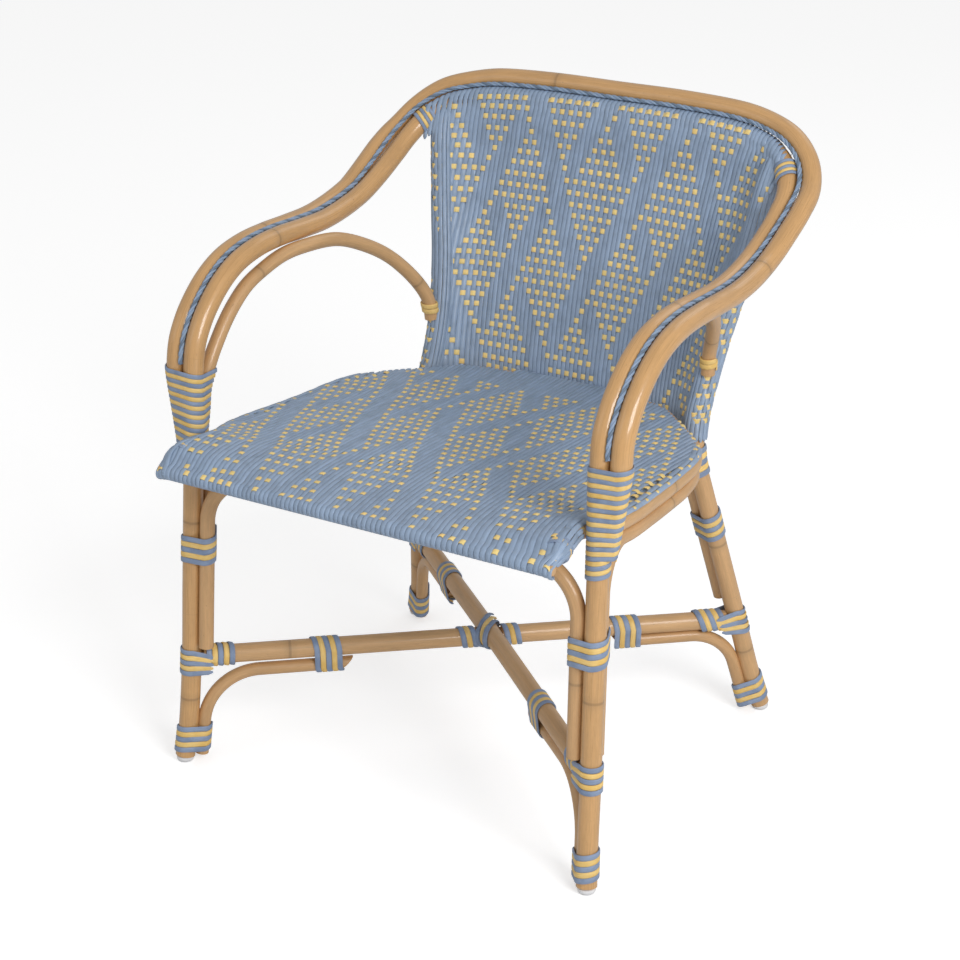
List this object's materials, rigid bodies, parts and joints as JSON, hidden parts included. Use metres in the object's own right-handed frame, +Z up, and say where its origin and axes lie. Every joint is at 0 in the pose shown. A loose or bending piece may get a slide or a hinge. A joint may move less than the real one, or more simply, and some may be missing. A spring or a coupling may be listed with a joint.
{
  "type": "rattan bistro armchair",
  "caption": "Round-armed rattan bistro chair with bent cane poles, strip-bound joints, crossed stretchers and a woven seat and back.",
  "frame": {"origin": "middle of the footprint's outline on the floor, under the centre of the seat", "axes": "+Z up, the front faces -Y, +X to the viewer's right when the viewer faces the front"},
  "size_m": [0.6526, 0.6656, 0.8139],
  "materials": {
    "cane": "satin varnish",
    "weave": "satin woven strands",
    "strip_blue": "satin flat strip",
    "strip_yellow": "satin flat strip",
    "cord_blue": "satin twisted cord",
    "glide": "smooth"
  },
  "bodies": {
    "root": {"hoop_inner": "cane", "hoop_outer": "cane", "groove_cord": "cord_blue", "rear_leg_upright_right": "cane", "rear_leg_upright_left": "cane", "arc_brace_right": "cane", "arc_brace_left": "cane", "arm_wrap_blue_right": "strip_blue", "arm_wrap_blue_left": "strip_blue", "arm_wrap_yellow_right": "strip_yellow", "arm_wrap_yellow_left": "strip_yellow", "shoulder_wrap_right": "strip_yellow", "shoulder_wrap_left": "strip_yellow", "arc_ring_right": "strip_yellow", "arc_ring_left": "strip_yellow", "seat_rim": "cane", "seat_front_rail": "cane", "seat_weave": "weave", "front_brace": "cane", "side_brace_right": "cane", "side_brace_left": "cane", "rear_brace": "cane", "back_weave": "weave", "stretcher_low": "cane", "stretcher_high": "cane", "knee_front_left": "cane", "foot_wrap_front_left": "strip_blue", "knee_wrap_front_left": "strip_blue", "joint_wrap_front_left": "strip_blue", "top_wrap_front_left": "strip_blue", "knee_front_right": "cane", "foot_wrap_front_right": "strip_blue", "knee_wrap_front_right": "strip_blue", "joint_wrap_front_right": "strip_blue", "top_wrap_front_right": "strip_blue", "knee_rear_right": "cane", "foot_wrap_rear_right": "strip_blue", "knee_wrap_rear_right": "strip_blue", "joint_wrap_rear_right": "strip_blue", "top_wrap_rear_right": "strip_blue", "knee_rear_left": "cane", "foot_wrap_rear_left": "strip_blue", "knee_wrap_rear_left": "strip_blue", "joint_wrap_rear_left": "strip_blue", "top_wrap_rear_left": "strip_blue", "seat_wrap_right": "strip_blue", "seat_wrap_left": "strip_blue", "cross_wrap": "strip_blue", "glide_front_left": "glide", "glide_front_right": "glide", "glide_rear_right": "glide", "glide_rear_left": "glide"}
  },
  "joints": []
}
